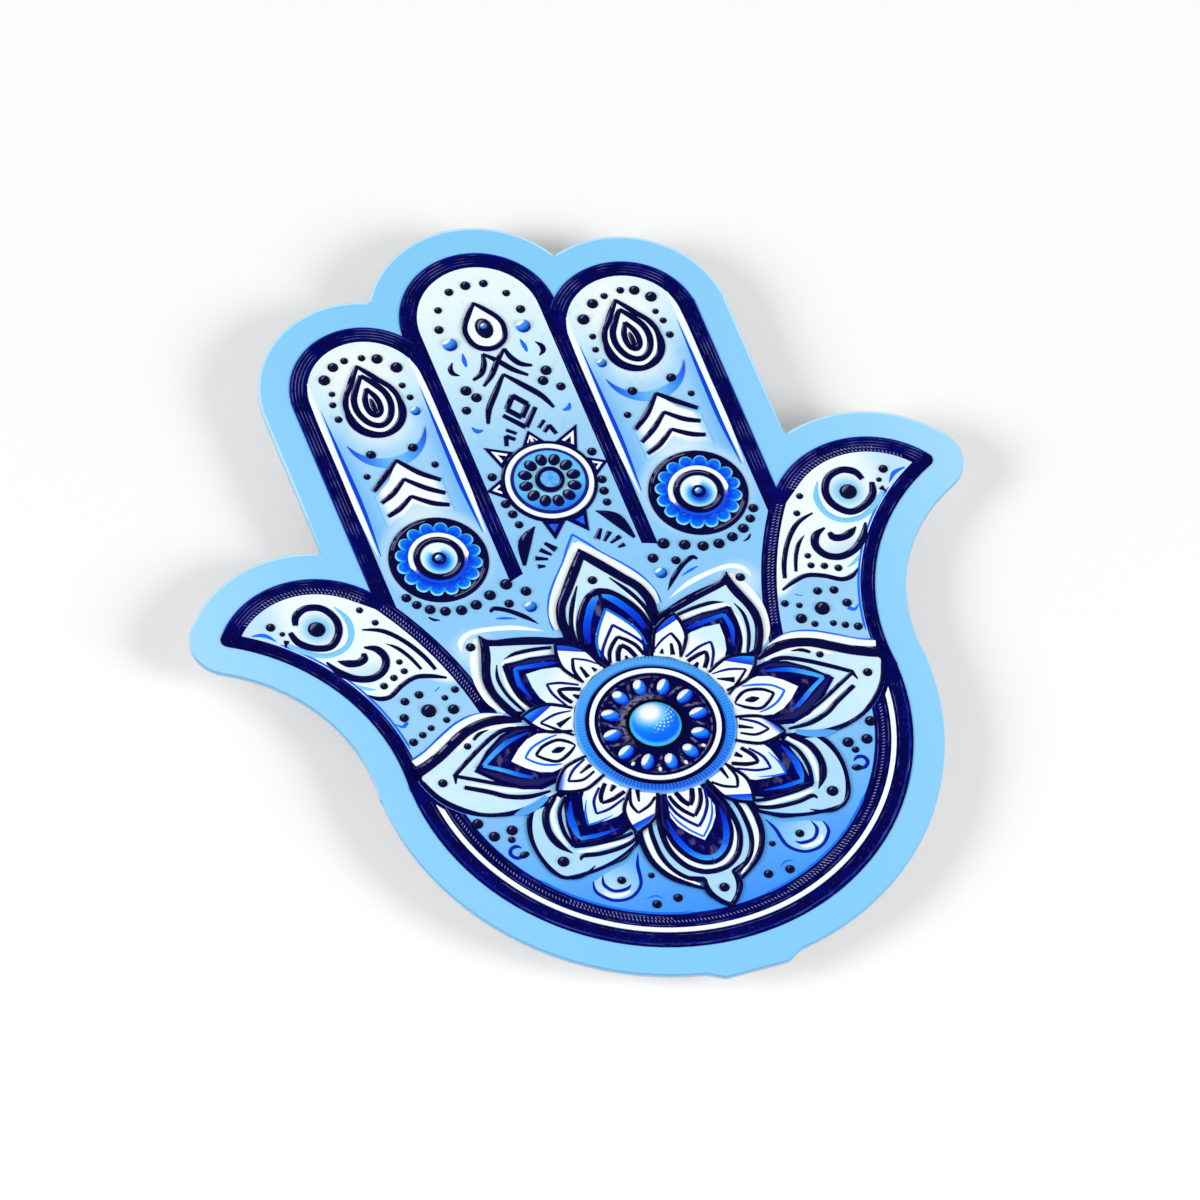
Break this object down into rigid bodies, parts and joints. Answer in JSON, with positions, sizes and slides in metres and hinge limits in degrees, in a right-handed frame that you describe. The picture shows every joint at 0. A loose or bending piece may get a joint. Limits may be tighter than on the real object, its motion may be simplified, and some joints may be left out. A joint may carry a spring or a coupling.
{
  "type": "hamsa hand decal ornament",
  "caption": "Flat hand-shaped decal ornament in layered blue films, with fingers, outward thumbs, a palm rosette, eye roundels and a plain border on a peel-off liner.",
  "frame": {"origin": "on the back of the release liner, under the middle of the palm rosette", "axes": "+X across the hand to its right thumb, +Y from the palm to the middle finger's tip, +Z out of the decorated face"},
  "size_m": [0.091, 0.1017, 0.0024],
  "materials": {
    "liner_paper": "smooth release paper",
    "border_vinyl": "satin light blue",
    "navy_film": "gloss navy",
    "field_film": "satin pale blue",
    "thumb_film": "satin pale blue",
    "petal_film": "satin ice blue",
    "white_film": "satin white",
    "blue_film": "gloss bright blue",
    "sky_film": "gloss sky blue",
    "domed_resin": "clear-domed blue"
  },
  "bodies": {
    "liner": {"release_liner": "liner_paper"},
    "decal": {"arrow_lines": "navy_film", "base_card": "border_vinyl", "between_petals": "white_film", "hand_field": "field_film", "inner_petal_cores": "navy_film", "inner_petals": "white_film", "leaf_blues": "blue_film", "leaf_outlines": "navy_film", "left_chevron_panel": "white_film", "left_chevrons": "navy_film", "left_crescent": "blue_film", "left_eye_iris": "sky_film", "left_eye_pupil": "navy_film", "left_eye_rim": "navy_film", "left_eye_scallops": "blue_film", "left_eye_white": "white_film", "left_fish_lines": "navy_film", "left_fish_pupil": "navy_film", "left_palm_scroll": "navy_film", "left_thumb_field": "thumb_film", "navy_hand": "navy_film", "palm_pinstripe": "white_film", "petal_bottom": "petal_film", "petal_left": "petal_film", "petal_lower_left": "petal_film", "petal_lower_right": "petal_film", "petal_outlines": "navy_film", "petal_right": "petal_film", "petal_top": "petal_film", "petal_upper_left": "petal_film", "petal_upper_right": "petal_film", "right_chevron_panel": "white_film", "right_chevrons": "navy_film", "right_crescent": "blue_film", "right_eye_iris": "sky_film", "right_eye_pupil": "navy_film", "right_eye_rim": "navy_film", "right_eye_scallops": "blue_film", "right_eye_white": "white_film", "right_fish_lines": "navy_film", "right_fish_pupil": "navy_film", "right_palm_scroll": "navy_film", "right_thumb_field": "thumb_film", "rosette_collar": "sky_film", "rosette_dish": "navy_film", "rosette_dome": "domed_resin", "rosette_ring": "white_film", "rosette_seeds": "domed_resin", "sun_disc": "blue_film", "sun_hub": "sky_film", "sun_rim": "navy_film", "sun_seeds": "navy_film", "sun_white": "white_film", "teardrop_cores": "navy_film", "teardrop_lines": "navy_film", "teardrop_whites": "white_film"}
  },
  "joints": [
    {"name": "peel_off", "type": "slide", "parent": "liner", "child": "decal", "axis": [0, 0, 1], "range_m": [0, 0.03]}
  ]
}
